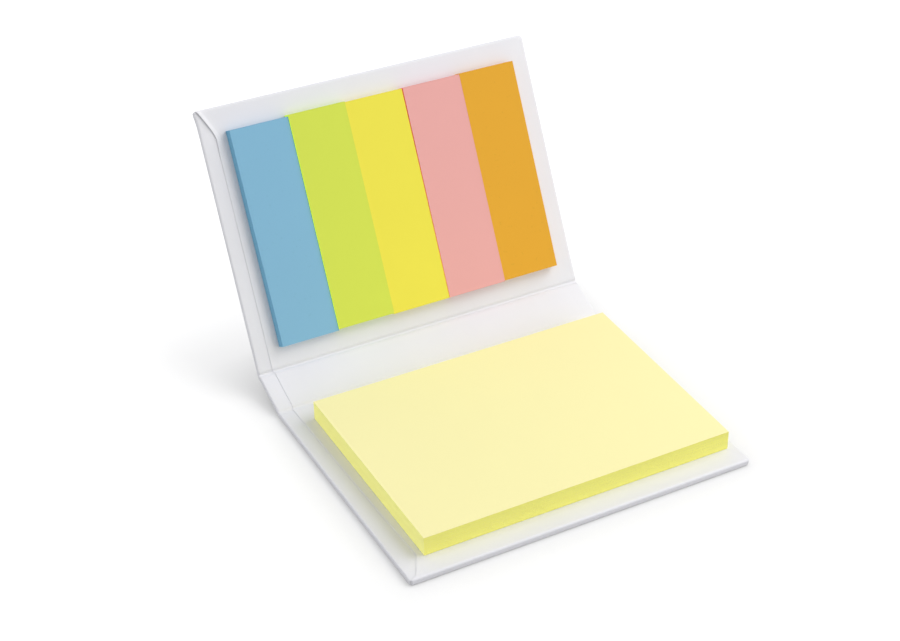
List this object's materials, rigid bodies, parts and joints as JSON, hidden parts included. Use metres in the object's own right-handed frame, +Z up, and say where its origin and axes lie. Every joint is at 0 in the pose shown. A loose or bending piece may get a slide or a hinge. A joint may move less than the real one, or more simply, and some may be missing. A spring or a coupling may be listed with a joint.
{
  "type": "sticky notes in a hard cover",
  "caption": "Sticky note pad and slim marker pads held in a small folding hard cover that stands open like a book.",
  "frame": {"origin": "middle of the back cover's underside, which lies on the table", "axes": "+X along the folds, +Y from the near edge of the back cover towards the spine, +Z up; the front cover leans back over +Y"},
  "size_m": [0.0844, 0.1037, 0.0572],
  "materials": {
    "greyboard": "plain grey-brown pressed board, hidden inside the cover",
    "cover_paper": "white paper with a glossy film, wrapped round the boards",
    "lining_paper": "smooth white satin lining paper",
    "note_paper": "matte pale yellow note paper",
    "marker_blue": "matte mid-blue paper",
    "marker_green": "matte lime green paper",
    "marker_yellow": "matte bright yellow paper",
    "marker_pink": "matte pale salmon pink paper",
    "marker_orange": "matte warm orange paper"
  },
  "bodies": {
    "back_cover": {"back_board": "greyboard", "back_wrap": "cover_paper", "back_lining": "lining_paper", "note_pad": "note_paper"},
    "spine": {"spine_board": "greyboard", "spine_wrap": "cover_paper", "spine_lining": "lining_paper"},
    "front_cover": {"front_board": "greyboard", "front_wrap": "cover_paper", "front_lining": "lining_paper", "marker_blue": "marker_blue", "marker_green": "marker_green", "marker_yellow": "marker_yellow", "marker_pink": "marker_pink", "marker_orange": "marker_orange"}
  },
  "joints": [
    {"name": "lower_crease", "type": "hinge", "parent": "back_cover", "child": "spine", "pos_m": [0, 0.031, 0.00008], "axis": [1, 0, 0], "range_deg": [-19.5, 70.5]},
    {"name": "upper_crease", "type": "hinge", "parent": "spine", "child": "front_cover", "pos_m": [0, 0.04181, 0.00391], "axis": [1, 0, 0], "range_deg": [-40.1, 49.9]}
  ]
}
